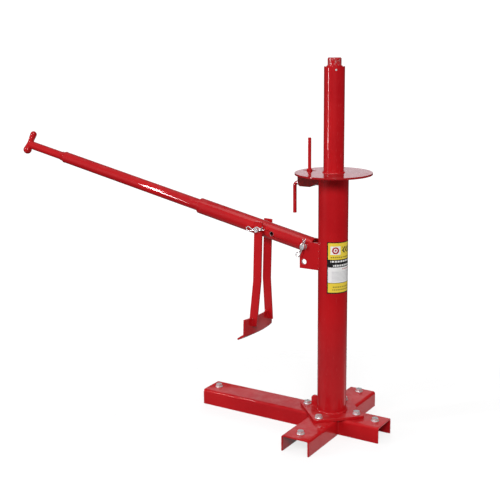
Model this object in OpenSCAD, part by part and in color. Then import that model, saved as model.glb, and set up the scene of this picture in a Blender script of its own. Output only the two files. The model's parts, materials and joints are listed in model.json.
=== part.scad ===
// Portable manual tyre changer with a bead-breaker arm.
// Frame: origin on the floor below the post axis, +Z up, the long leg and the arm run along -X.

/* [Posts] */
// Outside diameter of the lower post
lower_post_d = 88.9; // [86:0.1:92]
// Wall thickness of the lower post
lower_post_wall = 5.5; // [4:0.5:8]
// Outside diameter of the upper post that the wheel hub drops over
upper_post_d = 60.3; // [56:0.1:64]
// Wall thickness of the upper post
upper_post_wall = 4; // [3:0.5:6]
// Height of the upper post's rim above the floor
upper_post_top = 1101; // [1060:1:1140]
// Diameter of the spigot on top of the upper post
spigot_d = 40; // [36:1:44]
// Height of the spigot above the rim
spigot_h = 25; // [20:1:30]

/* [Wheel disc] */
// Height of the disc's top face above the floor
disc_top = 796; // [780:1:810]
// Diameter of the disc
disc_d = 228.6; // [220:0.1:240]
// Thickness of the disc
disc_t = 6; // [5:0.5:8]
// Distance from the post axis to the middle of the lug slot
lug_r = 80; // [78:1:82]
// Length of the lug slot from end to end
slot_l = 40; // [36:1:42]
// Width of the lug slot
slot_w = 12; // [11.5:0.5:14]
// Diameter of the lug pin
lug_pin_d = 10; // [8:0.5:10.5]
// Height of the lug pin above the disc
lug_pin_h = 98; // [80:1:120]

/* [Lug adjuster] */
// Height of the adjuster screw's axis above the floor
crank_z = 758; // [757:1:762]
// Diameter of the bent crank rod
crank_d = 11; // [10:0.5:12]
// Diameter of the adjuster thread
screw_d = 10; // [8:0.5:10]
// Distance from the post axis to the hanging part of the crank
crank_x = 130; // [128:1:136]
// Height of the crank's lower end above the floor
crank_bottom = 665; // [650:1:690]
// Outside width of the adjuster bracket
bracket_w = 34; // [32:1:38]
// Distance from the post axis to the adjuster bracket's end wall
bracket_reach = 112; // [111:0.5:113]
// Height of the adjuster bracket's lower edge above the floor
bracket_bottom = 749; // [744:1:750]

/* [Base] */
// Width of the leg channels
leg_w = 92; // [84:1:100]
// Height of the leg channels
leg_h = 50; // [46:1:54]
// Thickness of the leg channels
leg_t = 5; // [4:0.5:6]
// Outside radius of the channel bends
leg_bend_r = 8; // [7:0.5:10]
// Distance from the post axis to the end of the long leg
long_reach = 450; // [400:5:500]
// Distance from the post axis to the short end of the long leg
side_reach = 178; // [165:1:190]
// Distance from the post axis to the end of the front leg
front_reach = 232; // [215:1:245]
// Distance from the post axis to the end of the rear leg
rear_reach = 220; // [215:1:235]
// Side of the square plate under the post
plate_side = 158; // [150:1:160]
// Thickness of the square plate
plate_t = 9; // [8:0.5:12]
// Circle through the four plate bolts
plate_pcd = 170; // [164:1:174]

/* [Arm] */
// Distance from the post axis to the arm pivot
pivot_x = 81; // [80:0.5:84]
// Height of the arm pivot above the floor
pivot_z = 571; // [560:1:580]
// Distance from the arm pivot down to the lower pair of ear holes
ear_hole_drop = 47; // [44:1:50]
// Slope of the arm above level, in degrees
arm_tilt = 12; // [8:0.5:16]
// Outside diameter of the arm tube
arm_d = 50; // [48:0.5:50]
// Wall thickness of the arm tube
arm_wall = 5; // [4:0.5:5]
// Distance from the pivot to the arm tube's open end
arm_len = 405; // [390:1:430]
// Distance from the pivot to the spare hole in the arm tube
spare_hole_s = 120; // [110:1:125]
// Distance from the pivot to the shoe pin
shoe_hole_s = 165; // [160:1:170]

/* [Handle] */
// Outside diameter of the handle tube
handle_d = 38; // [34:0.5:38]
// Distance from the pivot to the handle tube's inner end
handle_start = 225; // [225:1:250]
// Distance from the pivot to the handle tube's outer end
handle_end = 986; // [950:1:1000]
// Diameter of the bar welded in the handle's outer end
bar_d = 28; // [26:0.5:29]
// Distance from the pivot to the cross head's axis
head_s = 1160; // [1120:1:1180]
// Turn of the cross head about the handle, in degrees
head_roll = 23; // [0:1:45]
// Distance from the handle's axis up to the middle of the cross head
head_shift = 7; // [0:1:10]

/* [Shoe] */
// Slope of the hanging straps, in degrees
shoe_tilt = 2; // [0:0.5:4]
// Width of a strap
strap_w = 28; // [25:1:30]
// Thickness of a strap
strap_t = 6; // [5:0.5:6]
// Length of the straight part of a strap below the shoe pin
strap_straight = 165; // [155:1:175]
// Sideways slope of a strap's lower part, in degrees
strap_flare = 8; // [6:0.5:9]
// Radius of the shoe blade's outer face
blade_r = 380; // [340:10:420]
// Half the width of the shoe blade
blade_half = 84; // [80:1:88]
// Height of the shoe blade's wall
blade_h = 53; // [48:1:58]
// Thickness of the shoe blade
blade_t = 6; // [5:0.5:7]

/* [Label] */
// Height of the label's lower edge above the floor
label_z = 440; // [420:1:450]
// Height of the label
label_h = 156; // [150:1:160]

/* [Hidden] */
$fn = 64;
red = [0.66, 0.07, 0.08];
zinc = [0.78, 0.79, 0.80];
dark_steel = [0.30, 0.30, 0.32];

// Overlap that keeps cutting shapes clear of the faces they cut
cut = 1;
gap = 0.4;

lower_r = lower_post_d / 2;
upper_r = upper_post_d / 2;
disc_under = disc_top - disc_t;
plate_top = leg_h + plate_t;
half_leg = leg_w / 2;

// Anchor bolts, as distances from the post axis
anchor_long = long_reach - 31;
anchor_side = side_reach - 31;
anchor_front = front_reach - 35;
anchor_rear = rear_reach - 26;
anchors = [[-anchor_long, 0], [anchor_side, 0], [0, -anchor_front], [0, anchor_rear]];

// M12 fasteners
bolt_r = 6;
bolt_hole_r = 6.75;
head_af = 18;
head_h = 7.5;
nut_h = 10;
washer_r = 12;
washer_t = 2.5;

// Clevis pins and the spring clips that hold them
arm_pin_r = 7.92;
arm_hole_r = 8;
shoe_pin_r = 6.42;
shoe_hole_r = 6.5;
pin_head_t = 5;
clip_wire_r = 1.6;
clip_hole_r = 1.8;
side_in = arm_d / 2 + 1;
side_out = side_in + strap_t;
clip_y = side_out + 7;
pin_end = side_out + 14;

// Lug adjuster
block_l = 22;
block_gap = 0.5;
bracket_t = 4;
bracket_end_t = 5;
crank_clear = 0.08;
collar_t = 5;
clip_ring_t = 1.2;
crank_bend = 12;

// Shoe, in its own frame: origin on the shoe pin, Z up along the straps
strap_top = 25;
blade_top = -279.5;
blade_mid_x = 0;
strap_bottom = -306;
lip_in = 30;
lip_drop = 20;

// ---- Frames ----

// Children drawn with Z along the arm, away from the pivot, and X up across it
module on_arm() {
    translate([-pivot_x, 0, pivot_z])
        rotate([0, arm_tilt - 90, 0])
            children();
}

// Children drawn with the origin on the shoe pin and Z up along the straps
module on_shoe() {
    translate([-pivot_x - shoe_hole_s * cos(arm_tilt), 0, pivot_z + shoe_hole_s * sin(arm_tilt)])
        rotate([0, shoe_tilt, 0])
            children();
}

// ---- Shapes that repeat ----

module tube(d, wall, h) {
    difference() {
        cylinder(d = d, h = h);
        translate([0, 0, -cut])
            cylinder(d = d - 2 * wall, h = h + 2 * cut);
    }
}

// A rod along Y, centred on the XZ plane
module cross_rod(r, l) {
    rotate([90, 0, 0])
        cylinder(r = r, h = l, center = true);
}

// An upright rectangle with its two upper corners rounded
module arch(w, h, r) {
    translate([-w / 2, 0])
        square([w, h - r]);
    translate([-w / 2 + r, 0])
        square([w - 2 * r, h]);
    for (side = [-1, 1])
        translate([side * (w / 2 - r), h - r])
            circle(r = r);
}

module channel_outline() {
    difference() {
        arch(leg_w, leg_h, leg_bend_r);
        translate([0, -cut])
            arch(leg_w - 2 * leg_t, leg_h - leg_t + cut, leg_bend_r - leg_t);
    }
}

module bolt_hole(x, y, top) {
    translate([x, y, top - 20])
        cylinder(r = bolt_hole_r, h = 20 + cut);
}

// A hexagon whose corners are turned off by a cone, as on a forged head
module hexagon(h) {
    intersection() {
        cylinder(d = head_af / cos(30), h = h, $fn = 6);
        cylinder(r1 = head_af * 1.2, r2 = head_af * 0.52, h = h);
    }
}

module bolt(length) {
    hexagon(head_h);
    translate([0, 0, -length])
        cylinder(r = bolt_r, h = length);
}

module washer() {
    difference() {
        cylinder(r = washer_r, h = washer_t);
        translate([0, 0, -cut])
            cylinder(r = bolt_hole_r, h = washer_t + 2 * cut);
    }
}

module at_plate_bolts() {
    for (i = [0:3])
        rotate([0, 0, 90 * i])
            translate([plate_pcd / 2, 0, 0])
                children();
}

module at_anchors() {
    for (p = anchors)
        translate([p[0], p[1], 0])
            children();
}

// ---- Spring clip: a path in a plane, swept by a round wire ----

clip_leg = 30;
clip_tip = 28;
clip_loop_r = 6.5;
clip_bow_r = 9.9;
clip_sides = 10;

function arc(cx, cy, r, from, to, n) =
    [for (i = [0:n]) let (a = from + (to - from) * i / n) [cx + r * cos(a), cy + r * sin(a)]];

// Straight leg, loop, neck, bow round the pin and flared end
clip_path = concat(
    [[clip_tip, 0], [10, 0], [-10, 0]],
    arc(-clip_leg, clip_loop_r, clip_loop_r, -90, -315, 14),
    [[-20, 6.2]],
    [[-15.5, 3.4]],
    arc(0, 0, clip_bow_r, 150, 40, 10),
    [[11, 4.2], [14, 3.8], [18, 5.2], [23, 8.5]]
);

function unit(v) = v / norm(v);
function clip_dir(p, i) = unit(p[min(i + 1, len(p) - 1)] - p[max(i - 1, 0)]);

module spring_clip() {
    rings = len(clip_path);
    points = [for (i = [0:rings - 1]) let (d = clip_dir(clip_path, i)) for (k = [0:clip_sides - 1])
        let (a = 360 * k / clip_sides, n = clip_wire_r * cos(a))
            [clip_path[i][0] - n * d[1], clip_wire_r * sin(a), clip_path[i][1] + n * d[0]]];
    walls = [for (i = [0:rings - 2]) for (k = [0:clip_sides - 1])
        let (a = i * clip_sides + k, b = i * clip_sides + (k + 1) % clip_sides)
            [a, b, b + clip_sides, a + clip_sides]];
    first = [for (k = [0:clip_sides - 1]) clip_sides - 1 - k];
    last = [for (k = [0:clip_sides - 1]) (rings - 1) * clip_sides + k];
    polyhedron(points = points, faces = concat(walls, [first, last]), convexity = 4);
}

// A pin along Y with its head at +Y and a cross hole for the clip near -Y
module clevis_pin(r, head_gap, clip_turn) {
    difference() {
        union() {
            translate([0, side_out + head_gap, 0])
                rotate([90, 0, 0])
                    cylinder(r = r, h = side_out + head_gap + pin_end);
            translate([0, side_out + head_gap + pin_head_t, 0])
                rotate([90, 0, 0])
                    cylinder(r = r + 3.5, h = pin_head_t);
        }
        translate([0, -clip_y, 0])
            rotate([0, clip_turn, 0])
                rotate([0, 90, 0])
                    cylinder(r = clip_hole_r, h = 4 * r, center = true);
    }
}

// ---- Base ----

module long_leg() {
    color(red)
        difference() {
            translate([-long_reach, 0, 0])
                rotate([90, 0, 90])
                    linear_extrude(long_reach + side_reach)
                        channel_outline();
            for (x = [-anchor_long, anchor_side, -plate_pcd / 2, plate_pcd / 2])
                bolt_hole(x, 0, leg_h);
        }
}

module stub_leg(from, to, holes) {
    color(red)
        difference() {
            translate([0, to, 0])
                rotate([90, 0, 0])
                    linear_extrude(to - from)
                        channel_outline();
            for (y = holes)
                bolt_hole(0, y, leg_h);
        }
}

module front_leg() {
    stub_leg(-front_reach, -half_leg, [-anchor_front, -plate_pcd / 2]);
}

module rear_leg() {
    stub_leg(half_leg, rear_reach, [anchor_rear, plate_pcd / 2]);
}

module anchor_washers() {
    color(zinc)
        translate([0, 0, leg_h])
            at_anchors()
                washer();
}

module anchor_bolts() {
    color(zinc)
        translate([0, 0, leg_h + washer_t])
            at_anchors()
                bolt(20);
}

// Square plate set corner-on to the legs, with its corners clipped
module flange_plate() {
    reach = plate_side / sqrt(2) - 3;
    color(red)
        difference() {
            translate([0, 0, leg_h])
                intersection() {
                    rotate([0, 0, 45])
                        translate([-plate_side / 2, -plate_side / 2, 0])
                            cube([plate_side, plate_side, plate_t]);
                    translate([-reach, -reach, 0])
                        cube([2 * reach, 2 * reach, plate_t]);
                }
            at_plate_bolts()
                bolt_hole(0, 0, plate_top);
        }
}

module flange_washers() {
    color(zinc)
        translate([0, 0, plate_top])
            at_plate_bolts()
                washer();
}

module flange_bolts() {
    color(zinc)
        translate([0, 0, plate_top + washer_t])
            at_plate_bolts()
                bolt(32);
}

module flange_nuts() {
    color(zinc)
        translate([0, 0, leg_h - leg_t - nut_h])
            at_plate_bolts()
                difference() {
                    cylinder(d = head_af / cos(30), h = nut_h, $fn = 6);
                    translate([0, 0, -cut])
                        cylinder(r = bolt_r + 0.05, h = nut_h + 2 * cut);
                }
}

// Upright tab between the plate and the post, on the arm's side
module base_gusset() {
    tab_out = 25;
    tab_h = 33;
    tab_r = 10;
    color(red)
        difference() {
            translate([0, 4, plate_top])
                rotate([90, 0, 0])
                    linear_extrude(8) {
                        translate([-lower_r - tab_out, 0])
                            square([tab_out + 10, tab_h - tab_r]);
                        translate([-lower_r - tab_out + tab_r, 0])
                            square([tab_out + 10 - tab_r, tab_h]);
                        translate([-lower_r - tab_out + tab_r, tab_h - tab_r])
                            circle(r = tab_r);
                    }
            translate([0, 0, plate_top - cut])
                cylinder(r = lower_r, h = tab_h + 2 * cut);
            at_plate_bolts()
                translate([0, 0, plate_top - cut])
                    cylinder(r = washer_r + gap, h = washer_t + head_h + 2 * cut);
        }
}

// ---- Post ----

module lower_post() {
    color(red)
        translate([0, 0, plate_top])
            tube(lower_post_d, lower_post_wall, disc_under - plate_top);
}

// Sticker that wraps the side of the post away from the arm
module label() {
    half_wrap = 86;
    color("gold")
        rotate([0, 0, -half_wrap])
            rotate_extrude(angle = 2 * half_wrap)
                translate([lower_r, label_z])
                    square([0.25, label_h]);
}

module wheel_disc() {
    color(red)
        difference() {
            translate([0, 0, disc_under])
                cylinder(d = disc_d, h = disc_t, $fn = 128);
            translate([-lug_r, 0, disc_under - cut]) {
                for (side = [-1, 1])
                    translate([side * (slot_l - slot_w) / 2, 0, 0])
                        cylinder(d = slot_w, h = disc_t + 2 * cut);
                translate([-(slot_l - slot_w) / 2, -slot_w / 2, 0])
                    cube([slot_l - slot_w, slot_w, disc_t + 2 * cut]);
            }
        }
}

module upper_post() {
    color(red)
        difference() {
            translate([0, 0, disc_top])
                tube(upper_post_d, upper_post_wall, upper_post_top - disc_top);
            spigot_pin_shape(3, 4);
        }
}

// Plug in the upper post with a rounded spigot above the rim
module post_spigot() {
    plug_r = upper_r - upper_post_wall;
    plug_h = 25;
    edge = 4;
    color(red)
        difference() {
            translate([0, 0, upper_post_top])
                rotate_extrude() {
                    translate([0, -plug_h])
                        square([plug_r, plug_h]);
                    square([spigot_d / 2, spigot_h - edge]);
                    square([spigot_d / 2 - edge, spigot_h]);
                    translate([spigot_d / 2 - edge, spigot_h - edge])
                        intersection() {
                            circle(r = edge);
                            square(edge);
                        }
                }
            spigot_pin_shape(3);
        }
}

module spigot_pin_shape(r, extra = 0) {
    translate([0, 0, upper_post_top - 9])
        rotate([0, 0, -54])
            rotate([0, 90, 0])
                cylinder(r = r, h = upper_post_d - 0.8 + extra, center = true);
}

// Cross pin that locks the plug; its ends show just below the rim
module spigot_pin() {
    color(zinc)
        spigot_pin_shape(3);
}

// ---- Lug adjuster ----

module lug_bracket() {
    color(red)
        difference() {
            translate([0, bracket_w / 2, 0])
                rotate([90, 0, 0])
                    linear_extrude(bracket_w)
                        polygon([
                            [-bracket_reach, disc_under],
                            [-bracket_reach, bracket_bottom + 12],
                            [-bracket_reach + 6, bracket_bottom],
                            [-70, bracket_bottom],
                            [-36, bracket_bottom + 20],
                            [-36, disc_under]
                        ]);
            translate([-bracket_reach + bracket_end_t, -bracket_w / 2 + bracket_t, bracket_bottom - cut])
                cube([100, bracket_w - 2 * bracket_t, 60]);
            cylinder(r = lower_r, h = disc_under + cut);
            translate([-bracket_reach - cut, 0, crank_z])
                rotate([0, 90, 0])
                    cylinder(r = crank_d / 2 + crank_clear, h = bracket_end_t + 2 * cut);
        }
}

module lug_block() {
    w = bracket_w - 2 * bracket_t - 2 * block_gap;
    h = disc_under - bracket_bottom - 2 * block_gap;
    color(dark_steel)
        difference() {
            translate([-lug_r - block_l / 2, -w / 2, bracket_bottom + block_gap])
                cube([block_l, w, h]);
            translate([-lug_r - block_l, 0, crank_z])
                rotate([0, 90, 0])
                    cylinder(r = screw_d / 2 + gap, h = 2 * block_l);
            lug_pin_foot();
        }
}

// Thicker foot of the lug pin, from inside the block up through the slot and the collar
module lug_pin_foot() {
    foot = disc_under - 16;
    translate([-lug_r, 0, foot])
        cylinder(r = lug_pin_d / 2 + 0.5, h = disc_top + gap + collar_t - foot);
}

module lug_pin() {
    top = disc_top + lug_pin_h;
    color(red) {
        lug_pin_foot();
        translate([-lug_r, 0, disc_top])
            cylinder(d = lug_pin_d, h = lug_pin_h - 1.5);
        translate([-lug_r, 0, top - 1.5])
            cylinder(r1 = lug_pin_d / 2, r2 = lug_pin_d / 2 - 1.5, h = 1.5);
    }
}

// Collar on the lug pin that rides just above the disc and bridges the slot
module lug_collar() {
    color(red)
        translate([-lug_r, 0, disc_top + gap])
            difference() {
                cylinder(r = 8.5, h = collar_t);
                translate([0, 0, -cut])
                    cylinder(r = lug_pin_d / 2 + 0.5, h = collar_t + 2 * cut);
            }
}

// Crank: shank through the bracket's end wall, a bend and a hanging handle
module crank_rod() {
    color(red) {
        translate([-crank_x + crank_bend, 0, crank_z])
            rotate([0, 90, 0])
                cylinder(d = crank_d, h = crank_x - crank_bend - bracket_reach + bracket_end_t);
        translate([-crank_x + crank_bend, 0, crank_z - crank_bend])
            rotate([90, 0, 0])
                rotate([0, 0, 90])
                    rotate_extrude(angle = 90)
                        translate([crank_bend, 0])
                            circle(d = crank_d);
        translate([-crank_x, 0, crank_bottom])
            cylinder(d = crank_d, h = crank_z - crank_bend - crank_bottom);
    }
}

module crank_screw() {
    start = -bracket_reach + bracket_end_t;
    color(zinc)
        translate([start, 0, crank_z])
            rotate([0, 90, 0])
                cylinder(d = screw_d, h = -48 - start);
}

module crank_collar() {
    color(zinc)
        translate([-bracket_reach - gap - collar_t, 0, crank_z])
            rotate([0, 90, 0])
                difference() {
                    cylinder(r = 9, h = collar_t);
                    translate([0, 0, -cut])
                        cylinder(d = crank_d, h = collar_t + 2 * cut);
                }
}

module crank_clip() {
    color(zinc)
        translate([-bracket_reach + bracket_end_t + 0.1, 0, crank_z])
            rotate([0, 90, 0])
                difference() {
                    cylinder(r = 8, h = clip_ring_t);
                    translate([0, 0, -cut])
                        cylinder(d = screw_d, h = clip_ring_t + 2 * cut);
                }
}

// ---- Bracket for the arm ----

module ear(from) {
    ear_out = 96;
    ear_top = pivot_z + 15;
    ear_bottom = pivot_z - ear_hole_drop - 21;
    color(red)
        difference() {
            translate([-ear_out, from, ear_bottom])
                cube([ear_out - 20, strap_t, ear_top - ear_bottom]);
            translate([0, 0, ear_bottom - cut])
                cylinder(r = lower_r, h = ear_top - ear_bottom + 2 * cut);
            for (drop = [0, ear_hole_drop])
                translate([-pivot_x, from + strap_t / 2, pivot_z - drop])
                    cross_rod(arm_hole_r, strap_t + 2 * cut);
        }
}

module front_ear() {
    ear(-side_out);
}

module rear_ear() {
    ear(side_in);
}

clip_turn_arm = -69;
clip_turn_shoe = -8;

module arm_pin() {
    color(zinc)
        translate([-pivot_x, 0, pivot_z])
            clevis_pin(arm_pin_r, 0, clip_turn_arm);
}

module arm_pin_clip() {
    color(zinc)
        translate([-pivot_x, -clip_y, pivot_z])
            rotate([0, clip_turn_arm, 0])
                spring_clip();
}

// ---- Arm ----

module arm_tube() {
    inner_end = -16;
    color(red)
        on_arm()
            difference() {
                translate([0, 0, inner_end])
                    tube(arm_d, arm_wall, arm_len - inner_end);
                cross_rod(arm_hole_r, arm_d + 2 * cut);
                for (s = [spare_hole_s, shoe_hole_s])
                    translate([0, 0, s])
                        cross_rod(shoe_hole_r, arm_d + 2 * cut);
            }
}

module at_shoe_pin() {
    on_arm()
        translate([0, 0, shoe_hole_s])
            rotate([0, 90 - arm_tilt, 0])
                children();
}

module shoe_pin() {
    color(zinc)
        at_shoe_pin()
            clevis_pin(shoe_pin_r, gap, clip_turn_shoe);
}

module shoe_pin_clip() {
    color(zinc)
        at_shoe_pin()
            translate([0, -clip_y, 0])
                rotate([0, clip_turn_shoe, 0])
                    spring_clip();
}

// ---- Shoe ----

// A flat bar beside the arm, with its lower part leaning outwards
module strap(side) {
    lean = tan(strap_flare) * (-strap_straight - strap_bottom);
    color(red)
        on_shoe()
            difference() {
                translate([-strap_w / 2, 0, 0])
                    rotate([90, 0, 90])
                        linear_extrude(strap_w)
                            polygon([
                                [side * side_in, strap_top],
                                [side * side_out, strap_top],
                                [side * side_out, -strap_straight],
                                [side * (side_out + lean), strap_bottom],
                                [side * (side_in + lean), strap_bottom],
                                [side * side_in, -strap_straight]
                            ]);
                cross_rod(shoe_hole_r, 2 * side_out + 2 * cut);
                blade_wall();
            }
}

module front_strap() {
    strap(-1);
}

module rear_strap() {
    strap(1);
}

// Upright part of the blade: a sector of a ring whose axis is on the wheel's side
module blade_wall() {
    half_angle = asin(blade_half / blade_r);
    translate([blade_mid_x - blade_r, 0, 0])
        rotate([0, 0, -half_angle])
            rotate_extrude(angle = 2 * half_angle, $fn = 180)
                translate([blade_r - blade_t, blade_top - blade_h])
                    square([blade_t, blade_h]);
}

module shoe_blade() {
    half_angle = asin(blade_half / blade_r);
    foot = blade_top - blade_h;
    slope = blade_t * 0.9;
    color(red)
        on_shoe()
            translate([blade_mid_x - blade_r, 0, 0])
                rotate([0, 0, -half_angle])
                    rotate_extrude(angle = 2 * half_angle, $fn = 180)
                        polygon([
                            [blade_r - blade_t, blade_top],
                            [blade_r, blade_top],
                            [blade_r, foot],
                            [blade_r - 2, foot - 3],
                            [blade_r - lip_in, foot - lip_drop],
                            [blade_r - lip_in - 2, foot - lip_drop + slope],
                            [blade_r - blade_t, foot + 4]
                        ]);
}

// ---- Handle ----

module handle_tube() {
    color(red)
        on_arm()
            translate([0, 0, handle_start])
                tube(handle_d, 3, handle_end - handle_start);
}

// Ring that closes the tube's end round the bar
module handle_reducer() {
    color(red)
        on_arm()
            translate([0, 0, handle_end])
                difference() {
                    cylinder(d1 = handle_d, d2 = bar_d + 1.5, h = 16);
                    translate([0, 0, -cut])
                        cylinder(d = bar_d, h = 16 + 2 * cut);
                }
}

module handle_bar() {
    color(red)
        on_arm()
            translate([0, 0, handle_end - 40])
                difference() {
                    cylinder(d = bar_d, h = head_s - handle_end + 36);
                    translate([0, 0, head_s - handle_end + 40])
                        rotate([0, 0, head_roll])
                            head_bar();
                }
}

// Bone-shaped cross bar: two round lobes, the lower one larger, joined by a waist
module head_bar() {
    low_r = 14.5;
    high_r = 11.5;
    waist_r = 9.5;
    low_reach = 27.5;
    high_reach = 31;
    translate([head_shift, 0, 0]) {
        rotate([0, 90, 0]) {
            translate([0, 0, -low_reach])
                cylinder(r1 = low_r, r2 = waist_r, h = low_reach - 1);
            translate([0, 0, -1 - cut])
                cylinder(r1 = waist_r, r2 = high_r, h = high_reach + 1 + cut);
        }
        translate([-low_reach, 0, 0])
            sphere(r = low_r);
        translate([high_reach, 0, 0])
            sphere(r = high_r);
    }
}

module hook_head() {
    color(red)
        on_arm()
            translate([0, 0, head_s])
                rotate([0, 0, head_roll])
                    head_bar();
}

long_leg();
front_leg();
rear_leg();
anchor_bolts();
anchor_washers();
flange_plate();
flange_bolts();
flange_washers();
flange_nuts();
base_gusset();
lower_post();
label();
wheel_disc();
upper_post();
post_spigot();
spigot_pin();
lug_bracket();
lug_block();
lug_pin();
lug_collar();
crank_rod();
crank_screw();
crank_collar();
crank_clip();
front_ear();
rear_ear();
arm_pin();
arm_pin_clip();
arm_tube();
shoe_pin();
shoe_pin_clip();
front_strap();
rear_strap();
shoe_blade();
handle_tube();
handle_reducer();
handle_bar();
hook_head();
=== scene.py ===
# %% [markdown]
# # A hand-operated tyre changer
# A wheel lies on the round disc with its centre bore over the upper post, and a thin pin through one of
# its bolt holes keeps it from turning. The long arm on the other side pushes a curved shoe down on a tyre
# that lies on the floor, so that the bead leaves the rim.
#
# The steel parts come from the CAD model and stay exactly where it puts them. What this script adds is
# what a CAD model leaves out: eased edges, weld beads, sprung wire, threads, paint, plating and a sticker.

# %% Load the solid model
import json
import math
import bmesh
import bpy
import numpy as np
from mathutils import Matrix, Vector

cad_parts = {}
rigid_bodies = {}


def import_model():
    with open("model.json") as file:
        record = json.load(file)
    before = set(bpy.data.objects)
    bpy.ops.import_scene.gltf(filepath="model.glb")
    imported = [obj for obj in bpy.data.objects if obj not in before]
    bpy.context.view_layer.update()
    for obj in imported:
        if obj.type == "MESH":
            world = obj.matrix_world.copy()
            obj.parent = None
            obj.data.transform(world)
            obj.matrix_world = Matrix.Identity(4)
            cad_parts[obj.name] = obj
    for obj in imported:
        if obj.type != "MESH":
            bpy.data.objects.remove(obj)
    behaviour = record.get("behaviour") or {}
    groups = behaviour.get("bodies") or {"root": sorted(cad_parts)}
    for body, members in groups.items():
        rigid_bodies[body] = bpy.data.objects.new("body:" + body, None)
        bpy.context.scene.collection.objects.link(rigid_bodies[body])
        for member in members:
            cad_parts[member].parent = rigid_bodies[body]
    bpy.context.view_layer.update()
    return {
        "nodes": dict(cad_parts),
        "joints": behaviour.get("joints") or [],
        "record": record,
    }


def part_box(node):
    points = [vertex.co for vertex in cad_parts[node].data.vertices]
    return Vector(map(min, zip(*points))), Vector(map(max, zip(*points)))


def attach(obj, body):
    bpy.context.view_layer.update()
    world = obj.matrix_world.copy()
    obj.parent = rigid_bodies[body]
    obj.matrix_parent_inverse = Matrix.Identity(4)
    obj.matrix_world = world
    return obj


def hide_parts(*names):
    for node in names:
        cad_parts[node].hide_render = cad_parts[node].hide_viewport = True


for leftover in list(bpy.data.objects):
    bpy.data.objects.remove(leftover)
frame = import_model()
nodes = frame["nodes"]

# %% [markdown]
# ## Where the camera stands
# The camera looks at the front of the post from its free side, a little above the wheel disc. A place, a
# heading, a pitch and a small roll are easier to read than nine numbers of a matrix, so the matrix is built
# from those four.

# %% Camera
CAMERA_PLACE = (1.2842, -2.5085, 1.2180)
HEADING, PITCH, ROLL = (math.radians(a) for a in (32.14, -13.08, -0.65))

lens = bpy.data.cameras.new("camera")
lens.lens = 69.7
lens.sensor_width = 36
camera = bpy.data.objects.new("camera", lens)
bpy.context.scene.collection.objects.link(camera)
camera.matrix_world = (
    Matrix.Translation(CAMERA_PLACE)
    @ Matrix.Rotation(HEADING, 4, "Z")
    @ Matrix.Rotation(math.pi / 2 + PITCH, 4, "X")
    @ Matrix.Rotation(ROLL, 4, "Z")
)
bpy.context.scene.camera = camera
print("camera stands", round(math.dist(CAMERA_PLACE, (0, 0, 0.55)), 2), "metres from the middle of the post")

# %% [markdown]
# ## Writing finishes as arithmetic
# A procedural finish is a graph of small nodes, which is slow to read. `Wire` wraps one output of the graph
# and overloads the operators, so `1 - mask * 0.3` adds the Math nodes by itself.


# %% Arithmetic on sockets
class Wire:
    """One number, colour or vector inside a finish. Arithmetic on it adds Math nodes."""

    def __init__(self, finish, socket):
        self.finish = finish
        self.socket = socket

    def math(self, operation, *values):
        return self.finish.node("ShaderNodeMath", {"operation": operation}, dict(enumerate(values)))

    def __add__(self, other):
        return self.math("ADD", self, other)

    def __sub__(self, other):
        return self.math("SUBTRACT", self, other)

    def __rsub__(self, other):
        return self.math("SUBTRACT", other, self)

    def __mul__(self, other):
        return self.math("MULTIPLY", self, other)

    def __truediv__(self, other):
        return self.math("DIVIDE", self, other)

    def __rtruediv__(self, other):
        return self.math("DIVIDE", other, self)

    def __pow__(self, other):
        return self.math("POWER", self, other)

    def __abs__(self):
        return self.math("ABSOLUTE", self)

    __radd__ = __add__
    __rmul__ = __mul__

    def lesser(self, other):
        return self.math("MINIMUM", self, other)

    def greater(self, other):
        return self.math("MAXIMUM", self, other)

    def step(self, low, high):
        """0 below low, 1 above high and a smooth rise between; low may be the larger."""
        if low > high:
            return 1 - self.step(high, low)
        return self.finish.node(
            "ShaderNodeMapRange", {"interpolation_type": "SMOOTHSTEP"},
            {0: self, 1: low, 2: high, 3: 0.0, 4: 1.0},
        )

    def axis(self, letter):
        return self.finish.node("ShaderNodeSeparateXYZ", {}, {0: self}, letter)


# %% [markdown]
# A graph belongs to a material or to the sky. `Graph` has the single method that adds any other kind of
# node, and `Finish` adds what only a surface has: the place and the facing of the shaded point, and noise
# in metres, because a blot of 3 mm is easier to picture than a noise scale of 333.


# %% Graphs and finishes
class Graph:
    """A node graph and the one way to add to it."""

    def __init__(self, tree):
        self.tree = tree

    def node(self, kind, settings, inputs, output=0):
        """Adds one node: its settings first, then the value or wire of each socket."""
        made = self.tree.nodes.new(kind)
        for name, value in settings.items():
            if name == "stops":
                ramp = made.color_ramp
                while len(ramp.elements) < len(value):
                    ramp.elements.new(1.0)
                for element, (position, colour) in zip(ramp.elements, value):
                    element.position = position
                    element.color = (*colour, 1.0)
            else:
                setattr(made, name, value)
        for socket, value in inputs.items():
            self.feed(made.inputs[socket], value)
        return Wire(self, made.outputs[output])

    def feed(self, socket, value):
        if isinstance(value, Wire):
            self.tree.links.new(value.socket, socket)
        elif socket.type == "RGBA" and len(value) == 3:
            socket.default_value = (*value, 1.0)
        else:
            socket.default_value = value

    def mix(self, amount, first, second):
        return self.node("ShaderNodeMix", {"data_type": "RGBA"}, {0: amount, 6: first, 7: second}, 2)


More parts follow.
